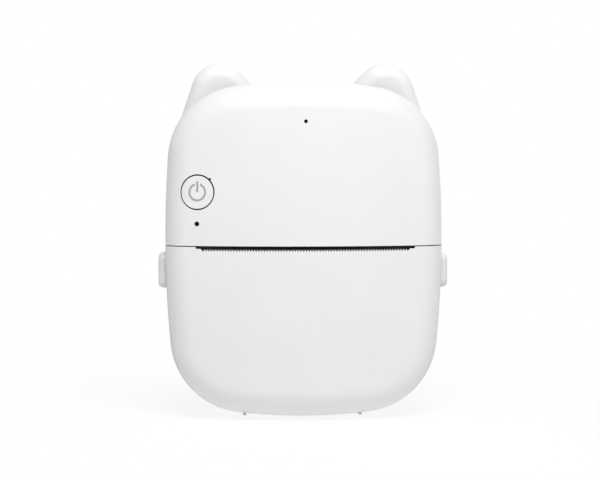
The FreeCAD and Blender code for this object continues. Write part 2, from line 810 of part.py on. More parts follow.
# Platen roller in its bushes, with its gear and clip
arm_end = bay_side + arm_thickness
bush_end = arm_end + bush_flange_thickness
platen_shaft = rod_x(platen_shaft_diameter, -arm_end - gear_gap - platen_shaft_overhang,
                     gear_end + running_clearance, platen_y, platen_height)
platen_half = platen_length / 2
platen_rubber = rod_x(platen_diameter, -platen_half, platen_half, platen_y, platen_height).cut(platen_shaft)
idler_y = platen_y + gear_module * (platen_teeth + idler_teeth) / 2
idler_z = platen_height
idler_phase = math.pi
platen_phase = mesh_phase(platen_teeth, idler_teeth, idler_phase, math.pi)
platen_gear = gear(platen_teeth, platen_shaft_diameter, platen_phase, platen_y, platen_height)
bush = joined([
    rod_x(bush_diameter, bay_side, arm_end, platen_y, platen_height),
    rod_x(bush_flange_diameter, arm_end, bush_end, platen_y, platen_height),
]).cut(rod_x(platen_shaft_diameter + 2 * running_clearance, bay_side, bush_end, platen_y, platen_height))
clip_end = -bush_end - running_clearance
platen_clip = rod_x(clip_diameter, clip_end - clip_thickness, clip_end, platen_y, platen_height).cut(
    platen_shaft)

# Drive: idler on a post, motor with its pinion, and the strap plate that keeps the gears in place
pinion_angle = math.radians(pinion_direction)
pinion_reach = gear_module * (idler_teeth + pinion_teeth) / 2
pinion_y = idler_y + pinion_reach * math.cos(pinion_angle)
pinion_z = idler_z + pinion_reach * math.sin(pinion_angle)
idler_gear = gear(idler_teeth, idler_post_diameter + 2 * running_clearance, idler_phase, idler_y, idler_z)
pinion_phase = mesh_phase(pinion_teeth, idler_teeth, idler_phase, pinion_angle)
motor_pinion = gear(pinion_teeth, motor_shaft_diameter, pinion_phase, pinion_y, pinion_z)
idler_post = joined([
    rod_x(idler_post_diameter, bay_side, gear_cover_x, idler_y, idler_z),
    rod_x(idler_collar_diameter, cheek_side, gear_start - gear_gap / 2, idler_y, idler_z),
])
post_reach = gear_module * (idler_teeth / 2 + 1) + gear_post_diameter / 2 + moving_gap
gear_post_places = [(idler_y + post_reach * math.cos(math.radians(angle)),
                     idler_z + post_reach * math.sin(math.radians(angle))) for angle in gear_post_directions]
gear_cover = joined([
    strap(spring_seat, gear_post_places[0], gear_strap_width, gear_cover_x, spring_inner_end),
    strap(spring_seat, gear_post_places[1], gear_strap_width, gear_cover_x, spring_inner_end),
    strap(gear_post_places[0], gear_post_places[1], gear_strap_width, gear_cover_x, spring_inner_end),
]).cut(Part.Compound([
    rod_x(small_screw_diameter + 2 * screw_hole_clearance, gear_cover_x, spring_inner_end, y, z)
    for y, z in gear_post_places]))
gear_cover_screws = [small_screw_x(spring_inner_end, cheek_side, y, z) for y, z in gear_post_places]
motor_start = bay_side - motor_length
motor_screw_places = [(pinion_y, pinion_z + way * motor_screw_spacing / 2) for way in (-1, 1)]
motor_screw_tip = bay_side - motor_screw_depth
motor = joined([
    rod_x(motor_diameter, motor_start, bay_side, pinion_y, pinion_z),
    rod_x(motor_boss_diameter, bay_side, cheek_side, pinion_y, pinion_z),
    rod_x(motor_shaft_diameter, cheek_side, gear_end, pinion_y, pinion_z),
]).cut(Part.Compound([
    rod_x(small_screw_diameter, motor_screw_tip, bay_side, y, z) for y, z in motor_screw_places]))
motor_screws = [small_screw_x(cheek_side, motor_screw_tip, y, z) for y, z in motor_screw_places]

# Print head: steel plate on two trunnions, ceramic strip, ribbon cable and two pressure springs
plate_low = platen_height - head_plate_drop
plate_top = plate_low + head_plate_height
trunnion_y = (plate_front + plate_back) / 2
trunnion_z = plate_top - trunnion_drop
head_half = head_plate_length / 2
trunnion = rod_x(trunnion_diameter, head_half - trunnion_diameter, head_half + trunnion_length,
                 trunnion_y, trunnion_z)
print_head_plate = joined([
    box(-head_half, head_half, plate_front, plate_back, plate_low, plate_top), trunnion, mirrored(trunnion)])
print_head_ceramic = box(
    -ceramic_length / 2, ceramic_length / 2, head_front, plate_front,
    platen_height - ceramic_height / 2, platen_height + ceramic_height / 2)
cable_half = head_cable_width / 2
cable_top = board_low + head_cable_plug
head_cable = box(-cable_half, cable_half, plate_back, plate_back + head_cable_thickness,
                 plate_low + head_plate_height / 2, cable_top)
spring_wall_y = plate_back + head_spring_length
head_coil = coil(head_spring_diameter, head_spring_wire, head_spring_length, head_spring_turns)
head_springs = [along_axis(head_coil, vec(x, plate_back, platen_height), vec(0, 1, 0))
                for x in (-head_spring_spacing / 2, head_spring_spacing / 2)]

# Chassis: two cheeks, the bay ceiling, the wall behind the head springs, lugs and posts
cheek_front = platen_y + arm_radius + 2 * moving_gap
lower_front = parting + 2 * moving_gap
cheek = prism_x(
    [(lower_front, 0), (lower_front, lower_cheek_top), (cheek_front, lower_cheek_top),
     (cheek_front, cheek_top), (far, cheek_top), (far, 0)], bay_side, cheek_side).common(inside)
cheek = cheek.cut(
    box(bay_side, cheek_side, lower_front, hinge_y + hinge_lug_length, 0, cheek_notch_height))
ceiling = box(-bay_side, bay_side, spring_wall_y, far, bay_ceiling, ceiling_top).common(inside)
spring_wall = box(-bay_side, motor_start - motor_gap, spring_wall_y, spring_wall_y + spring_wall_thickness,
                  bay_ceiling, platen_height + spring_wall_rise)
chassis_lugs = [box(x - chassis_lug_width / 2, x + chassis_lug_width / 2, lug_back - chassis_lug_thickness,
                    lug_back, bay_ceiling, ceiling_top + chassis_lug_width) for x in chassis_lug_places]
left_seat = rod_x(release_spring_diameter + 2 * release_seat_rim, -spring_inner_end, -bay_side, *spring_seat)
gear_posts = [rod_x(gear_post_diameter, bay_side, gear_cover_x, y, z) for y, z in gear_post_places]
chassis = joined([cheek, mirrored(cheek), ceiling, spring_wall, left_seat] + chassis_lugs + gear_posts)
trunnion_bore = rod_x(trunnion_diameter + 2 * running_clearance, bay_side, cheek_side, trunnion_y, trunnion_z)
chassis_cuts = [trunnion_bore, mirrored(trunnion_bore),
                rod_x(idler_post_diameter, bay_side, cheek_side, idler_y, idler_z),
                rod_x(motor_boss_diameter, bay_side, cheek_side, pinion_y, pinion_z)]
chassis_cuts += [rod_x(small_screw_diameter, bay_side, cheek_side, y, z) for y, z in motor_screw_places]
chassis_cuts += [rod_x(small_screw_diameter, cheek_side, gear_cover_x, y, z) for y, z in gear_post_places]
chassis_cuts += [rod_y(screw_diameter + 2 * screw_hole_clearance, lug_back - chassis_lug_thickness, lug_back,
                       x, chassis_lug_z) for x in chassis_lug_places]
chassis = chassis.cut(Part.Compound(chassis_cuts))

# Main board, clamped between the rear and front posts
tab_right = board_tab_width - board_edge
tab_low = lens_z - board_tab_margin
board_shape = [(-board_edge, board_high - board_corner), (board_corner - board_edge, board_high),
               (board_edge - board_corner, board_high), (board_edge, board_high - board_corner),
               (board_edge, board_low), (tab_right, board_low), (tab_right, tab_low), (-board_edge, tab_low)]
main_board = prism_y(board_shape, board_front, board_back).common(inside).cut(Part.Compound([
    rod_y(screw_diameter + 2 * screw_hole_clearance, board_front, board_back, x, z)
    for x, z in case_screw_places]))


def on_board_front(x, z, width, height, thickness):
    return box(x - width / 2, x + width / 2, board_front - thickness, board_front,
               z - height / 2, z + height / 2)


def push_switch(x, z):
    body = on_board_front(x, z, switch_size, switch_size, switch_height)
    plunger_end = board_front - switch_height - switch_plunger_height
    return joined([body, rod_y(switch_plunger_diameter, plunger_end, board_front - switch_height, x, z)])


switch_x = power_button_x + (board_front - skin_y) * math.tan(-turn)
power_switch = push_switch(switch_x, power_button_z)
reset_switch = push_switch(0, pinhole_z)
status_led = on_board_front(switch_x, lens_z, led_width, led_breadth, led_height)
board_chips = [on_board_front(x, board_low + rise, width, height, thickness)
               for x, rise, width, height, thickness in board_chip_sizes]
cable_y = plate_back + head_cable_thickness / 2
cable_mouth = box(-cable_half - moving_gap, cable_half + moving_gap, cable_y - 2 * moving_gap,
                  cable_y + 2 * moving_gap, board_low, cable_top + moving_gap)
cable_socket = box(-cable_half - cable_socket_rim, cable_half + cable_socket_rim, board_back,
                   cable_y + 4 * moving_gap, board_low, cable_top + cable_socket_rise).cut(cable_mouth)
socket_low = board_low + lead_socket_rise
socket_high = socket_low + lead_socket_height
lead_sockets = [box(x - lead_socket_width / 2, x + lead_socket_width / 2, board_back,
                    board_back + lead_socket_depth, socket_low, socket_high)
                for x in (-lead_socket_offset, lead_socket_offset)]

# USB socket on the back of the board, its mouth in the right wall
usb_mouth_x = side - usb_recess
usb_start = usb_mouth_x - usb_length
usb_shell_outer = stadium_x(usb_width, usb_thickness, usb_start, usb_mouth_x, usb_y, usb_z)
usb_shell_inner = stadium_x(usb_width - 2 * usb_shell, usb_thickness - 2 * usb_shell,
                            usb_start + usb_floor, usb_mouth_x, usb_y, usb_z)
usb_tongue = box(usb_start, usb_mouth_x - usb_tongue_recess, usb_y - usb_tongue_thickness / 2,
                 usb_y + usb_tongue_thickness / 2, usb_z - usb_tongue_width / 2, usb_z + usb_tongue_width / 2)
usb_socket = joined([usb_shell_outer.cut(usb_shell_inner), usb_tongue])

# Battery on a foam pad, and the two leads
battery_low = cheek_top + battery_low_gap
battery_high = case_top - battery_top_gap
battery_back = back_inner - battery_pad_thickness
battery_front = battery_back - battery_thickness
battery_half = battery_width / 2
battery = box(-battery_half, battery_half, battery_front, battery_back,
              battery_low, battery_high)
battery = battery.makeFillet(battery_edge, battery.Edges)
pad_inset = 2 * battery_edge
battery_pad = box(pad_inset - battery_half, battery_half - pad_inset, battery_back, back_inner,
                  battery_low + pad_inset, battery_high - pad_inset)
socket_y = board_back + lead_socket_depth / 2
tap_z = battery_low + battery_tap_height
battery_lead = lead([
    vec(-lead_socket_offset, battery_front, tap_z),
    vec(-lead_socket_offset, battery_front - lead_loop, tap_z),
    vec(-lead_socket_offset, (battery_front + socket_y) / 2 - lead_loop / 2, tap_z + lead_loop / 2),
    vec(-lead_socket_offset, socket_y, tap_z),
    vec(-lead_socket_offset, socket_y, socket_high)])
motor_lead = lead([
    vec(motor_start, pinion_y, pinion_z),
    vec(motor_start - lead_loop, pinion_y, pinion_z),
    vec(motor_start - lead_loop, pinion_y, pinion_z + lead_loop),
    vec((motor_start - lead_loop + lead_socket_offset) / 2, (pinion_y + socket_y) / 2, cheek_top),
    vec(lead_socket_offset, socket_y, board_low - lead_loop / 2),
    vec(lead_socket_offset, socket_y, socket_low)])

# Screws through the rear housing and the chassis lugs
case_screws = [screw_y(x, z, case_seat, case_screw_length, -1) for x, z in case_screw_places]
chassis_screw_length = chassis_lug_thickness + chassis_boss_height + wall / 2
chassis_screws = [screw_y(x, chassis_lug_z, lug_back - chassis_lug_thickness, chassis_screw_length, 1)
                  for x in chassis_lug_places]

nodes = {
    "rear_housing": rear_housing,
    "upper_front": upper_front,
    "paper_cover": paper_cover,
    "hinge_pin": hinge_pin,
    "paper_guide": paper_guide,
    "guide_screws": Part.Compound(guide_screws),
    "power_button": power_button,
    "indicator_lens": indicator_lens,
    "right_release_button": right_release_button,
    "left_release_button": mirrored(right_release_button),
    "right_release_spring": right_release_spring,
    "left_release_spring": left_release_spring,
    "platen_shaft": platen_shaft,
    "platen_rubber": platen_rubber,
    "platen_gear": platen_gear,
    "platen_bushes": both_sides(bush),
    "platen_clip": platen_clip,
    "chassis": chassis,
    "chassis_screws": Part.Compound(chassis_screws),
    "print_head_plate": print_head_plate,
    "print_head_ceramic": print_head_ceramic,
    "head_springs": Part.Compound(head_springs),
    "head_cable": head_cable,
    "idler_gear": idler_gear,
    "idler_post": idler_post,
    "gear_cover": gear_cover,
    "gear_cover_screws": Part.Compound(gear_cover_screws),
    "motor": motor,
    "motor_pinion": motor_pinion,
    "motor_screws": Part.Compound(motor_screws),
    "main_board": main_board,
    "board_chips": Part.Compound(board_chips),
    "board_connectors": Part.Compound([cable_socket] + lead_sockets),
    "power_switch": power_switch,
    "reset_switch": reset_switch,
    "status_led": status_led,
    "usb_socket": usb_socket,
    "battery": battery,
    "battery_pad": battery_pad,
    "battery_lead": battery_lead,
    "motor_lead": motor_lead,
    "case_screws": Part.Compound(case_screws),
}
for name, shape in nodes.items():
    print(name, "solids", len(shape.Solids), "volume", round(shape.Volume, 2), "valid", shape.isValid())
    shape.exportStep("parts/" + name + ".step")
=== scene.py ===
import json
import math

import bpy
from mathutils import Matrix, Vector


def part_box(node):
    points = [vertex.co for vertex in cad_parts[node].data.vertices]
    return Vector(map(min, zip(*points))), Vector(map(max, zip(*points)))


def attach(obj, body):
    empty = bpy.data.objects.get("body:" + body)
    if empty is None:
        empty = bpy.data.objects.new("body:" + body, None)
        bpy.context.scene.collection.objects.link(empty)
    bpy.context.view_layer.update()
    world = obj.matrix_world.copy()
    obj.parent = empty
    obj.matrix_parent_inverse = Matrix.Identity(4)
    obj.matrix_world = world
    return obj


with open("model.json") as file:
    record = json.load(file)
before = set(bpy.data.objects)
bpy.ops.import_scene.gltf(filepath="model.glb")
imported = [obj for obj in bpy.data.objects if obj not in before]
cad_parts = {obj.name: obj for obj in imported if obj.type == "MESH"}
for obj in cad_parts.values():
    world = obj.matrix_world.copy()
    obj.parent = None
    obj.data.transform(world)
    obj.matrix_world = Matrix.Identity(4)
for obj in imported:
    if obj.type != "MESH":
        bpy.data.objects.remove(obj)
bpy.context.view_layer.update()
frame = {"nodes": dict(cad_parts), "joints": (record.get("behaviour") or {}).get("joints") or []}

# Rear housing
# The back half shell with the two ears and the two standing ribs, moulded in white ABS. The skin has
# a fine satin grain and a barely mottled colour, with painted shade darkening it in the creases.
case_white = (0.87, 0.87, 0.866)
case_white_deep = (0.85, 0.85, 0.845)
case_roughness = 0.45
mottle_cells = 60
sheen_cells = 400
sheen_spread = 0.04
pattern_low = 0.3
pattern_high = 0.7
crease_shade_reach = 0.006
crease_shade_depth = 0.38


def new_finish(name):
    """A new finish: the material, its node tree and its surface shader."""
    finish = bpy.data.materials.new(name)
    finish.use_nodes = True
    return finish, finish.node_tree, finish.node_tree.nodes["Principled BSDF"]


def object_noise(tree, cells, stretch=(1, 1, 1)):
    """Noise fixed to the object, in cells per metre, drawn out along an axis where stretch is small."""
    place = tree.nodes.new("ShaderNodeTexCoord")
    mapping = tree.nodes.new("ShaderNodeMapping")
    mapping.inputs["Scale"].default_value = stretch
    noise = tree.nodes.new("ShaderNodeTexNoise")
    noise.inputs["Scale"].default_value = cells
    noise.inputs["Detail"].default_value = 3.0
    tree.links.new(place.outputs["Object"], mapping.inputs["Vector"])
    tree.links.new(mapping.outputs["Vector"], noise.inputs["Vector"])
    return noise.outputs["Fac"]


def tint(tree, shader, pattern, low, high):
    """Colours the shader from low to high over the middle of the pattern's range."""
    ramp = tree.nodes.new("ShaderNodeValToRGB")
    ramp.color_ramp.elements[0].position = pattern_low
    ramp.color_ramp.elements[0].color = (*low, 1)
    ramp.color_ramp.elements[1].position = pattern_high
    ramp.color_ramp.elements[1].color = (*high, 1)
    tree.links.new(pattern, ramp.inputs["Fac"])
    tree.links.new(ramp.outputs["Color"], shader.inputs["Base Color"])


def roughen(tree, shader, pattern, roughness, spread):
    """Lets the shader's roughness stray by that spread over the middle of the pattern's range."""
    span = tree.nodes.new("ShaderNodeMapRange")
    span.inputs["From Min"].default_value = pattern_low
    span.inputs["From Max"].default_value = pattern_high
    span.inputs["To Min"].default_value = roughness - spread
    span.inputs["To Max"].default_value = roughness + spread
    tree.links.new(pattern, span.inputs["Value"])
    tree.links.new(span.outputs["Result"], shader.inputs["Roughness"])


def raise_grain(tree, shader, pattern, depth):
    """Raises the pattern on the shader as bumps of that depth, in metres."""
    bump = tree.nodes.new("ShaderNodeBump")
    bump.inputs["Strength"].default_value = 1.0
    bump.inputs["Distance"].default_value = depth
    tree.links.new(pattern, bump.inputs["Height"])
    tree.links.new(bump.outputs["Normal"], shader.inputs["Normal"])


def moulded_plastic(name, low, high, roughness, grain=3000, depth=0.000012):
    """Moulded plastic: a soft mottle, an uneven satin and the tool's fine grain."""
    finish, tree, shader = new_finish(name)
    tint(tree, shader, object_noise(tree, mottle_cells), low, high)
    roughen(tree, shader, object_noise(tree, sheen_cells), roughness, sheen_spread)
    raise_grain(tree, shader, object_noise(tree, grain), depth)
    return finish


def dress(node, finish):
    """Gives a CAD node this finish all over."""
    mesh = frame["nodes"][node].data
    mesh.materials.clear()
    mesh.materials.append(finish)


def paint_crease_shade(finish, reach, shade_depth):
    """Darkens the colour by up to that share where other surfaces stand within reach: painted shade."""
    tree = finish.node_tree
    colour_input = tree.nodes["Principled BSDF"].inputs["Base Color"]
    clean = colour_input.links[0].from_socket
    # Ambient occlusion darkens the base colour here: painted shade in the creases.
    openness = tree.nodes.new("ShaderNodeAmbientOcclusion")
    openness.inputs["Distance"].default_value = reach
    share = tree.nodes.new("ShaderNodeMapRange")
    share.inputs["To Min"].default_value = 1 - shade_depth
    tree.links.new(openness.outputs["AO"], share.inputs["Value"])
    shaded_colour = tree.nodes.new("ShaderNodeVectorMath")
    shaded_colour.operation = "SCALE"
    tree.links.new(clean, shaded_colour.inputs[0])
    tree.links.new(share.outputs["Result"], shaded_colour.inputs["Scale"])
    tree.links.new(shaded_colour.outputs["Vector"], colour_input)


rear_plastic = moulded_plastic("rear_plastic", case_white_deep, case_white, case_roughness)
# Painted shade in the rear housing's creases, as at the foot of the ears.
paint_crease_shade(rear_plastic, crease_shade_reach, crease_shade_depth)
dress("rear_housing", rear_plastic)

# Battery and its pad
# A flat lithium pouch in matt laminated foil, stuck to the rear housing by a black foam pad.
# The foil is faintly crumpled, and the foam is closed-cell, cut from a sheet.
foil_dark = (0.5, 0.51, 0.53)
foil_light = (0.62, 0.63, 0.65)
foil_tone_cells = 500
foil_gloss_cells = 250
foil_roughness = 0.375
foil_gloss_spread = 0.075
crumple_cells = 260
crumple_depth = 0.0002
battery_foil, tree, shader = new_finish("battery_foil")
shader.inputs["Metallic"].default_value = 0.8
tint(tree, shader, object_noise(tree, foil_tone_cells), foil_dark, foil_light)
roughen(tree, shader, object_noise(tree, foil_gloss_cells), foil_roughness, foil_gloss_spread)
raise_grain(tree, shader, object_noise(tree, crumple_cells), crumple_depth)
dress("battery", battery_foil)

foam_dark = (0.02, 0.02, 0.021)
foam_light = (0.055, 0.055, 0.057)
foam_cells = 2500
foam_cell_depth = 0.0001
pad_foam, tree, shader = new_finish("pad_foam")
shader.inputs["Roughness"].default_value = 0.95
foam_skin = object_noise(tree, foam_cells)
tint(tree, shader, foam_skin, foam_dark, foam_light)
raise_grain(tree, shader, foam_skin, foam_cell_depth)
dress("battery_pad", pad_foam)

# Chassis and gear cover
# The inner frame that carries the head, the gears and the motor, in dark glass-filled nylon.
# Glass fibres leave a dull, slightly streaked skin. The small strap over the gears is of the same.
chassis_nylon = moulded_plastic("chassis_nylon", (0.045, 0.046, 0.05), (0.065, 0.066, 0.07), roughness=0.6,
                                grain=1800, depth=0.00003)
dress("chassis", chassis_nylon)
dress("gear_cover", chassis_nylon)

# Screws
# Small pan-head screws of zinc-plated steel: for the case, chassis, gear strap, motor and paper guide.
# The plating is even, with a faint turning pattern left by the heading tool.
plating_cells = 300
tool_line_cells = 4000
tool_line_depth = 0.000004
gloss_spread = 0.07


def plated_metal(name, low, high, roughness, stretch=(1, 1, 1)):
    """Bare or plated metal with fine drawn or turned lines and an uneven gloss."""
    finish, tree, shader = new_finish(name)
    shader.inputs["Metallic"].default_value = 1.0
    tint(tree, shader, object_noise(tree, plating_cells), low, high)
    lines = object_noise(tree, tool_line_cells, stretch)
    roughen(tree, shader, lines, roughness, gloss_spread)
    raise_grain(tree, shader, lines, tool_line_depth)
    return finish


screw_zinc = plated_metal("screw_zinc", (0.4, 0.4, 0.42), (0.52, 0.52, 0.54), roughness=0.36)
for screws in ("case_screws", "chassis_screws", "gear_cover_screws", "motor_screws", "guide_screws"):
    dress(screws, screw_zinc)

# Motor, its pinion and the gear train
# A small stepping motor in a plated can drives a brass pinion, an acetal idler on a steel post,
# and the acetal gear on the platen.
can_steel = plated_metal("can_steel", (0.56, 0.57, 0.59), (0.66, 0.67, 0.69), roughness=0.3,
                         stretch=(0.05, 1, 1))
hobbed_brass = plated_metal("hobbed_brass", (0.72, 0.5, 0.2), (0.8, 0.58, 0.27), roughness=0.28)
gear_acetal = moulded_plastic("gear_acetal", (0.8, 0.79, 0.74), (0.85, 0.84, 0.79), roughness=0.38)
dress("motor", can_steel)
dress("idler_post", can_steel)
dress("motor_pinion", hobbed_brass)
dress("idler_gear", gear_acetal)
dress("platen_gear", gear_acetal)

# Print head
# A glazed ceramic strip with its heating line, and black resin over its driver chips, glued to a milled
# aluminium heat sink. Two coil springs press it on the roller, and an amber ribbon runs up to the board.
heat_sink = plated_metal("heat_sink", (0.6, 0.61, 0.63), (0.7, 0.71, 0.73), roughness=0.35,
                         stretch=(0.04, 1, 1))
dress("print_head_plate", heat_sink)

glazed_ceramic = moulded_plastic("glazed_ceramic", (0.76, 0.72, 0.62), (0.82, 0.78, 0.68), roughness=0.2,
                                 grain=900, depth=0.000004)
dress("print_head_ceramic", glazed_ceramic)

spring_wire = plated_metal("spring_wire", (0.42, 0.43, 0.45), (0.55, 0.56, 0.58), roughness=0.3)
dress("head_springs", spring_wire)

bead_sides = 96
bead_end_steps = 4
bead_end_turn = math.radians(72)
bead_smooth_angle = math.radians(40)


def start_piece():
    """Leaves nothing selected, so that the next primitive is worked on alone."""
    bpy.ops.object.select_all(action="DESELECT")


def pick(test):
    """In edit mode, selects just the vertices of the active piece whose place passes the test."""
    bpy.ops.mesh.select_mode(type="VERT")
    bpy.ops.mesh.select_all(action="DESELECT")
    bpy.ops.object.mode_set(mode="OBJECT")
    for vertex in bpy.context.active_object.data.vertices:
        vertex.select = test(vertex.co)
    bpy.ops.object.mode_set(mode="EDIT")


def long_bead(name, length, width, height, foot):
    """A long low bead along X, rounded over and at its ends, that stands on a face turned to the front."""
    radius = (width**2 / 4 + height**2) / (2 * height)
    straight = length - 2 * height
    slack = height / 1000
    start_piece()
    bpy.ops.mesh.primitive_cylinder_add(vertices=bead_sides, radius=radius, depth=straight,
                                        location=foot + Vector((0, radius - height, 0)),
                                        rotation=(0, math.pi / 2, 0))
    bead = bpy.context.active_object
    bead.name = name
    bpy.ops.object.transform_apply(location=True, rotation=True, scale=True)
    bpy.ops.object.mode_set(mode="EDIT")
    bpy.ops.mesh.select_all(action="SELECT")
    bpy.ops.mesh.bisect(plane_co=foot, plane_no=(0, 1, 0), use_fill=True, clear_outer=True, threshold=slack)
    for side in (-1, 1):
        pick(lambda co: side * (co.x - foot.x) > straight / 2 - slack)
        bpy.ops.mesh.select_mode(type="FACE")
        for step in range(bead_end_steps):
            before = bead_end_turn * step / bead_end_steps
            after = bead_end_turn * (step + 1) / bead_end_steps
            reach = height * (math.sin(after) - math.sin(before)) / math.sin(bead_end_turn)
            shrink = math.cos(after) / math.cos(before)
            bpy.ops.mesh.extrude_region_move(TRANSFORM_OT_translate={"value": (side * reach, 0, 0)})
            bpy.ops.transform.resize(value=(1, shrink, shrink), center_override=foot)
    bpy.ops.object.mode_set(mode="OBJECT")
    bpy.ops.object.shade_smooth_by_angle(angle=bead_smooth_angle)
    return bead


def joint_facts(name):
    """What the frame says of the joint of that name."""
    return next(joint for joint in frame["joints"] if joint["name"] == name)


ceramic_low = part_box("print_head_ceramic")[0]
platen_axis = Vector(joint_facts("platen_spin")["pos_m"])
line_length = 0.056
line_width = 0.001
line_height = 0.00008
glaze_dark = (0.16, 0.11, 0.08)
glaze_light = (0.24, 0.17, 0.12)
glaze_cells = 2500
line_glaze, tree, shader = new_finish("line_glaze")
shader.inputs["Roughness"].default_value = 0.12
tint(tree, shader, object_noise(tree, glaze_cells), glaze_dark, glaze_light)
heating_line = long_bead("heating_line", line_length, line_width, line_height,
                         Vector((0, ceramic_low.y, platen_axis.z)))
heating_line.data.materials.append(line_glaze)
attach(heating_line, "print_head")

resin_length = 0.05
resin_width = 0.0022
resin_height = 0.00045
resin_margin = 0.0018
chip_cover = moulded_plastic("chip_cover", (0.012, 0.012, 0.013), (0.02, 0.02, 0.021), roughness=0.22,
                             grain=700, depth=0.00003)
driver_resin = long_bead("driver_resin", resin_length, resin_width, resin_height,
                         Vector((0, ceramic_low.y, ceramic_low.z + resin_margin)))
driver_resin.data.materials.append(chip_cover)
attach(driver_resin, "print_head")

film_dark = (0.42, 0.17, 0.03)
film_light = (0.56, 0.27, 0.08)
trace_scale = 390
trace_depth = 0.00001
ribbon_film, tree, shader = new_finish("ribbon_film")
shader.inputs["Roughness"].default_value = 0.3
place = tree.nodes.new("ShaderNodeTexCoord")
traces = tree.nodes.new("ShaderNodeTexWave")
traces.wave_type = "BANDS"
traces.bands_direction = "X"
traces.inputs["Scale"].default_value = trace_scale
tree.links.new(place.outputs["Object"], traces.inputs["Vector"])
tint(tree, shader, traces.outputs["Fac"], film_dark, film_light)
raise_grain(tree, shader, traces.outputs["Fac"], trace_depth)
dress("head_cable", ribbon_film)

# Main board and its parts
# A glass laminate board under green solder mask, with moulded chips, nylon sockets, two tact switches,
# a light chip and the metal charging socket on its right edge.
solder_mask = moulded_plastic("solder_mask", (0.012, 0.11, 0.045), (0.02, 0.15, 0.065), roughness=0.35)
chip_resin = moulded_plastic("chip_resin", (0.015, 0.015, 0.016), (0.025, 0.025, 0.027), roughness=0.55)
socket_nylon = moulded_plastic("socket_nylon", (0.7, 0.66, 0.54), (0.77, 0.73, 0.61), roughness=0.5)
switch_plastic = moulded_plastic("switch_plastic", (0.025, 0.025, 0.027), (0.04, 0.04, 0.042), roughness=0.5)
led_resin = moulded_plastic("led_resin", (0.8, 0.78, 0.66), (0.88, 0.86, 0.76), roughness=0.15)
socket_steel = plated_metal("socket_steel", (0.58, 0.58, 0.6), (0.7, 0.7, 0.72), roughness=0.25)
dress("main_board", solder_mask)
dress("board_chips", chip_resin)
dress("board_connectors", socket_nylon)
dress("power_switch", switch_plastic)
dress("reset_switch", switch_plastic)
dress("status_led", led_resin)
dress("usb_socket", socket_steel)

tongue_half = 0.00035
tongue_half_width = 0.00335
tongue_recess = 0.0008
pad_length = 0.0026
pad_width = 0.00028
pad_thickness = 0.00006
pad_rounding = 0.000024
pad_setback = 0.0004
pad_pitch = 0.0005
pad_count = 12
contact_gold = plated_metal("contact_gold", (0.75, 0.52, 0.2), (0.83, 0.6, 0.27), roughness=0.25)
socket = frame["nodes"]["usb_socket"]
socket_low, socket_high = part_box("usb_socket")
socket_middle = (socket_low + socket_high) / 2
tongue_end = socket_high.x - tongue_recess
socket.data.materials.append(switch_plastic)
for polygon in socket.data.polygons:
    corners = [socket.data.vertices[index].co - socket_middle for index in polygon.vertices]
    thin = all(abs(corner.y) < tongue_half + pad_thickness for corner in corners)
    narrow = all(abs(corner.z) < tongue_half_width + pad_thickness for corner in corners)
    if thin and narrow:
        polygon.material_index = 1


def apply_modifiers(piece):
    """Applies every modifier of the active piece, in order."""
    for modifier in list(piece.modifiers):
        bpy.ops.object.modifier_apply(modifier=modifier.name)


start_piece()
bpy.ops.mesh.primitive_cube_add(
    size=1, scale=(pad_length, pad_thickness, pad_width),
    location=(tongue_end - pad_setback - pad_length / 2, socket_middle.y - tongue_half - pad_thickness / 2,
              socket_middle.z - pad_pitch * (pad_count - 1) / 2))
usb_contacts = bpy.context.active_object
usb_contacts.name = "usb_contacts"
bpy.ops.object.transform_apply(location=True, rotation=True, scale=True)
bpy.ops.object.mode_set(mode="EDIT")
bpy.ops.mesh.select_all(action="SELECT")
bpy.ops.mesh.bevel(offset=pad_rounding, segments=2, affect="EDGES")
bpy.ops.object.mode_set(mode="OBJECT")
for count, step in ((pad_count, (0, 0, pad_pitch)), (2, (0, 2 * tongue_half + pad_thickness, 0))):
    row = usb_contacts.modifiers.new("row", "ARRAY")
    row.count = count
    row.use_relative_offset = False
    row.use_constant_offset = True
    row.constant_offset_displace = step
apply_modifiers(usb_contacts)
usb_contacts.data.materials.append(contact_gold)
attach(usb_contacts, "root")

# Leads
# Soft insulated wire from the battery, red, and from the motor, black, to their sockets on the board.
lead_red = moulded_plastic("lead_red", (0.4, 0.016, 0.016), (0.5, 0.026, 0.024), roughness=0.4)
lead_black = moulded_plastic("lead_black", (0.025, 0.025, 0.026), (0.04, 0.04, 0.041), roughness=0.4)
dress("battery_lead", lead_red)
dress("motor_lead", lead_black)

# Upper front shell
# The upper half of the front, of the same white moulding as the rear housing and screwed to it.
case_plastic = moulded_plastic("case_plastic", case_white_deep, case_white, case_roughness)
dress("upper_front", case_plastic)

# Paper guide
# A straight black strip behind the slot, screwed up under the upper front, that turns the paper out.
guide_black = moulded_plastic("guide_black", (0.012, 0.012, 0.013), (0.02, 0.02, 0.021), roughness=0.5)
dress("paper_guide", guide_black)

# Status light and power button
# A smoked light pipe shows as a dark dot. The round button above it clicks a switch on the board: a
# white cap with its power sign pad printed in grey ink; its dark sides and stem are painted shade in the
# gap.
smoke_deep = (0.0015, 0.0015, 0.0018)
smoke_pale = (0.003, 0.003, 0.0034)
smoke_cells = 800
lens_smoke, tree, shader = new_finish("lens_smoke")
shader.inputs["Roughness"].default_value = 0.3
shader.inputs["Specular IOR Level"].default_value = 0.04
tint(tree, shader, object_noise(tree, smoke_cells), smoke_deep, smoke_pale)
dress("indicator_lens", lens_smoke)

button_plastic = moulded_plastic("button_plastic", case_white_deep, case_white, roughness=0.42)
dress("power_button", button_plastic)
gap_painted_shade = moulded_plastic("gap_painted_shade", (0.03, 0.03, 0.031), (0.045, 0.045, 0.046), roughness=0.8)

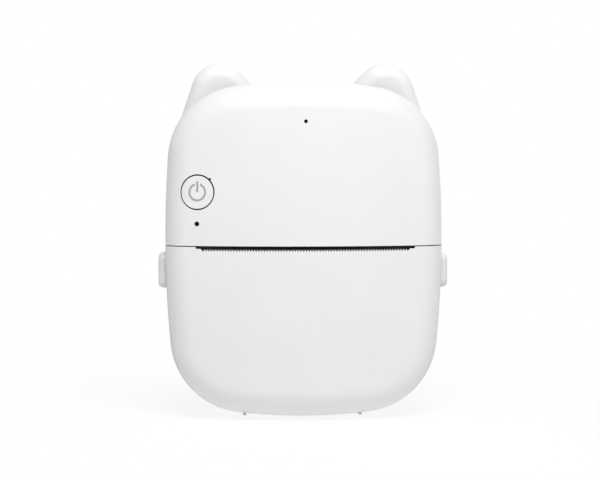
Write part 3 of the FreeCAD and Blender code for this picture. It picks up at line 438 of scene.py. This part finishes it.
cap_height = 0.0006
button = frame["nodes"]["power_button"]
press = Vector(joint_facts("power_button_press")["axis"])
button_right = Vector((press.y, -press.x, 0))
button_points = [vertex.co for vertex in button.data.vertices]
offsets = [point.dot(button_right) for point in button_points]
heights = [point.z for point in button_points]
button_axis = button_right * (min(offsets) + max(offsets)) / 2
button_axis.z = (min(heights) + max(heights)) / 2
button_front = max(-point.dot(press) for point in button_points)
face_middle = button.ray_cast(button_axis - press * 2 * button_front, press)[1]
# Below the cap, the button's sides and stem go dark: painted shade in the ring gap round the cap.
button.data.materials.append(gap_painted_shade)
for polygon in button.data.polygons:
    if (polygon.center - face_middle).dot(press) > cap_height:
        polygon.material_index = 1

sign_radius = 0.0023
sign_stroke = 0.00058
sign_gap = math.radians(41)
sign_steps = 60
sign_bar_low = 0.0001
sign_bar_high = 0.0031
sign_bar_cuts = 6
sign_lift = 0.00002
ink_thickness = 0.00003
sign_ink = moulded_plastic("sign_ink", (0.36, 0.36, 0.365), (0.41, 0.41, 0.415), roughness=0.5)
start_piece()
bpy.ops.mesh.primitive_plane_add(size=sign_stroke, location=(0, 0, 0))
power_sign = bpy.context.active_object
power_sign.name = "power_sign"
bpy.ops.object.mode_set(mode="EDIT")
pick(lambda co: co.y > 0)
bpy.ops.mesh.delete(type="VERT")
bpy.ops.mesh.select_all(action="SELECT")
bpy.ops.transform.translate(value=(sign_radius, sign_stroke / 2, 0))
bpy.ops.transform.rotate(value=-(math.pi / 2 - sign_gap / 2), orient_axis="Z", center_override=(0, 0, 0))
bpy.ops.mesh.spin(steps=sign_steps, angle=2 * math.pi - sign_gap, center=(0, 0, 0), axis=(0, 0, 1))
bpy.ops.mesh.select_all(action="DESELECT")
bpy.ops.mesh.primitive_plane_add(size=1, location=(0, (sign_bar_low + sign_bar_high) / 2, 0))
bpy.ops.transform.resize(value=(sign_stroke, sign_bar_high - sign_bar_low, 1))
bpy.ops.mesh.subdivide(number_cuts=sign_bar_cuts)
bpy.ops.object.mode_set(mode="OBJECT")
sign_turn = Matrix((button_right, (0, 0, 1), -press)).transposed()
power_sign.matrix_world = Matrix.Translation(face_middle) @ sign_turn.to_4x4()
bpy.ops.object.transform_apply(location=True, rotation=True, scale=True)
wrap = power_sign.modifiers.new("wrap", "SHRINKWRAP")
wrap.target = button
wrap.wrap_method = "NEAREST_SURFACEPOINT"
wrap.wrap_mode = "ABOVE_SURFACE"
wrap.offset = sign_lift
film = power_sign.modifiers.new("film", "SOLIDIFY")
film.thickness = ink_thickness
film.offset = 1
apply_modifiers(power_sign)
power_sign.data.materials.append(sign_ink)
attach(power_sign, "power_button")

# Release buttons and their springs
# One pill-shaped tab on each side lets the paper cover go when both are squeezed.
# They are moulded in a slightly greyer white, and a small coil spring pushes each one out.
release_plastic = moulded_plastic("release_plastic", (0.75, 0.75, 0.75), (0.78, 0.78, 0.78), roughness=0.42)
for side in ("left", "right"):
    dress(side + "_release_button", release_plastic)
    dress(side + "_release_spring", spring_wire)

# Paper cover
# The hinged lower half of the front, white, with the saw-toothed tear lip along its top edge.
# A plated steel pin in its rolled lower edge turns in the housing's lugs.
dress("paper_cover", case_plastic)
dress("hinge_pin", can_steel)

# Platen roller
# A ground rubber sleeve on a turned steel shaft that runs in two graphite-filled bushes.
# A spring clip keeps the shaft in place.
ground_rubber = moulded_plastic("ground_rubber", (0.016, 0.016, 0.017), (0.028, 0.028, 0.029),
                                roughness=0.75, grain=2600, depth=0.00003)
bush_acetal = moulded_plastic("bush_acetal", (0.04, 0.04, 0.044), (0.06, 0.06, 0.064), roughness=0.45)
dress("platen_rubber", ground_rubber)
dress("platen_shaft", can_steel)
dress("platen_bushes", bush_acetal)
dress("platen_clip", spring_wire)

# Floor
# A plain white light table that glows a little and throws light up. The camera sees mostly through it, so
# it keeps a faint shadow and no horizon. Lamps shine through, and the underside is clear for the open cover.
floor_size = 6.0
floor_white = 1.0
floor_bounce = 0.45
floor_glow = 0.42
floor_clearness = 0.86
shadow_reach = (0.08, 0.3)


def background_ray(tree):
    """1 for a ray from the camera, a mirror or glass, which sees plain white, and 0 for one that lights."""
    rays = tree.nodes.new("ShaderNodeLightPath")
    mirrored = tree.nodes.new("ShaderNodeMath")
    mirrored.operation = "MAXIMUM"
    tree.links.new(rays.outputs["Is Glossy Ray"], mirrored.inputs[0])
    tree.links.new(rays.outputs["Is Transmission Ray"], mirrored.inputs[1])
    either = tree.nodes.new("ShaderNodeMath")
    either.operation = "MAXIMUM"
    tree.links.new(rays.outputs["Is Camera Ray"], either.inputs[0])
    tree.links.new(mirrored.outputs["Value"], either.inputs[1])
    return either.outputs["Value"]


def mix(tree, factor, first, second):
    """A shader that goes from the first to the second as the factor goes from 0 to 1."""
    both = tree.nodes.new("ShaderNodeMixShader")
    tree.links.new(factor, both.inputs["Fac"])
    tree.links.new(first, both.inputs[1])
    tree.links.new(second, both.inputs[2])
    return both.outputs["Shader"]


start_piece()
bpy.ops.mesh.primitive_plane_add(size=floor_size, location=(0, 0, 0))
floor = bpy.context.active_object
floor.name = "floor"
floor_finish, tree, bounce = new_finish("floor_finish")
bounce.inputs["Base Color"].default_value = (floor_bounce, floor_bounce, floor_bounce, 1)
bounce.inputs["Roughness"].default_value = 1.0
bounce.inputs["Specular IOR Level"].default_value = 0.0
bounce.inputs["Emission Color"].default_value = (1, 1, 1, 1)
bounce.inputs["Emission Strength"].default_value = floor_glow
seen = tree.nodes.new("ShaderNodeBsdfDiffuse")
seen.inputs["Color"].default_value = (floor_white, floor_white, floor_white, 1)
clear = tree.nodes.new("ShaderNodeBsdfTransparent")
place = tree.nodes.new("ShaderNodeTexCoord")
distance = tree.nodes.new("ShaderNodeVectorMath")
distance.operation = "LENGTH"
tree.links.new(place.outputs["Object"], distance.inputs[0])
fade = tree.nodes.new("ShaderNodeMapRange")
fade.inputs["From Min"].default_value = shadow_reach[0]
fade.inputs["From Max"].default_value = shadow_reach[1]
fade.inputs["To Min"].default_value = floor_clearness
fade.inputs["To Max"].default_value = 1.0
tree.links.new(distance.outputs["Value"], fade.inputs["Value"])
sides = tree.nodes.new("ShaderNodeNewGeometry")
seen_floor = mix(tree, fade.outputs["Result"], seen.outputs["BSDF"], clear.outputs["BSDF"])
lit_top = mix(tree, sides.outputs["Backfacing"], bounce.outputs["BSDF"], clear.outputs["BSDF"])
tree.links.new(mix(tree, background_ray(tree), lit_top, seen_floor),
               tree.nodes["Material Output"].inputs["Surface"])
floor.data.materials.append(floor_finish)
floor.visible_shadow = False

# Light
# A white studio: a little light from all round, white to the camera and in reflections, a large soft
# box above and in front, just right of the middle, and weaker ones overhead and behind.
world_light = 0.22
box_size = 0.9
box_distance = 1.5
key_power = 18.6
key_azimuth = math.radians(7)
key_elevation = math.radians(54)
top_power = 2.8
top_elevation = math.radians(90)
back_power = 3.0
back_azimuth = math.radians(165)
back_elevation = math.radians(12)
object_middle = Vector((0, 0, 0.05))
world = bpy.data.worlds.new("studio")
bpy.context.scene.world = world
world.use_nodes = True
tree = world.node_tree
soft = tree.nodes["Background"]
soft.inputs["Color"].default_value = (1, 1, 1, 1)
soft.inputs["Strength"].default_value = world_light
white = tree.nodes.new("ShaderNodeBackground")
white.inputs["Color"].default_value = (1, 1, 1, 1)
white.inputs["Strength"].default_value = 1.0
tree.links.new(mix(tree, background_ray(tree), soft.outputs["Background"], white.outputs["Background"]),
               tree.nodes["World Output"].inputs["Surface"])


def direction(azimuth, elevation):
    """Unit vector from the object towards that side; azimuth 0 is the front, and it turns to the right."""
    return Vector((math.sin(azimuth) * math.cos(elevation), -math.cos(azimuth) * math.cos(elevation),
                   math.sin(elevation)))


def soft_box(name, power, azimuth, elevation):
    """A square soft box that faces the middle of the object."""
    lamp = bpy.data.lights.new(name, "AREA")
    lamp.energy = power
    lamp.size = box_size
    lamp_object = bpy.data.objects.new(name, lamp)
    bpy.context.scene.collection.objects.link(lamp_object)
    lamp_object.location = object_middle + direction(azimuth, elevation) * box_distance
    lamp_object.rotation_euler = direction(azimuth, elevation).to_track_quat("Z", "Y").to_euler()


soft_box("key_box", key_power, key_azimuth, key_elevation)
soft_box("top_box", top_power, key_azimuth, top_elevation)
soft_box("back_box", back_power, back_azimuth, back_elevation)

# Camera
# Nearly square to the front, a little to the left and above, with a long lens.
camera_azimuth = math.radians(-3.0)
camera_elevation = math.radians(2.6)
camera_distance = 0.6
camera_lens = 124.4
camera_aim = Vector((-0.00078, 0, 0.05091))
camera_data = bpy.data.cameras.new("camera")
camera_data.sensor_width = 36
camera_data.lens = camera_lens
camera_data.clip_start = 0.05
camera_data.clip_end = 50
camera = bpy.data.objects.new("camera", camera_data)
bpy.context.scene.collection.objects.link(camera)
toward_camera = direction(camera_azimuth, camera_elevation)
camera.location = camera_aim + toward_camera * camera_distance
camera.rotation_euler = toward_camera.to_track_quat("Z", "Y").to_euler()
bpy.context.scene.camera = camera
bpy.context.scene.view_settings.view_transform = "Standard"
